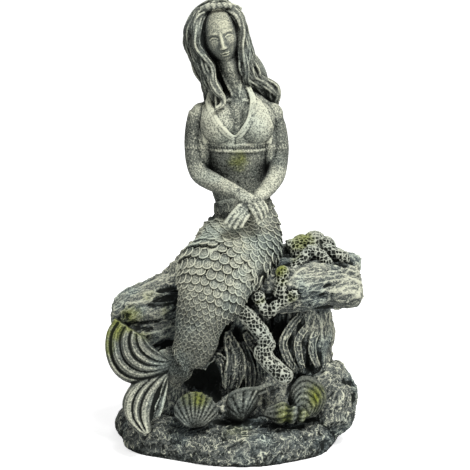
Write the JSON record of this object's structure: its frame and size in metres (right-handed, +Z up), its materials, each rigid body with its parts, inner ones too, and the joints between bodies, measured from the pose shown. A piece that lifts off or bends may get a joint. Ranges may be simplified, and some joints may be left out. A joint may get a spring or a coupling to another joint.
{
  "type": "mermaid figurine",
  "caption": "Cast garden or aquarium ornament: a mermaid seated on a craggy rock, with scaled tail and fan fluke, coral branches and shells on a flat-bottomed base.",
  "frame": {"origin": "middle of the flat underside", "axes": "+Z up, the figure faces -Y, +X to the viewer's right; the ledge with the fluke below it is at -X and the coral slab at +X"},
  "size_m": [0.1154, 0.073, 0.2015],
  "materials": {
    "aged_stone": "matt cast resin with a dark wash in the hollows, pale dry-brushed ridges and patches of moss green"
  },
  "bodies": {
    "root": {"mermaid_figurine": "aged_stone"}
  },
  "joints": []
}
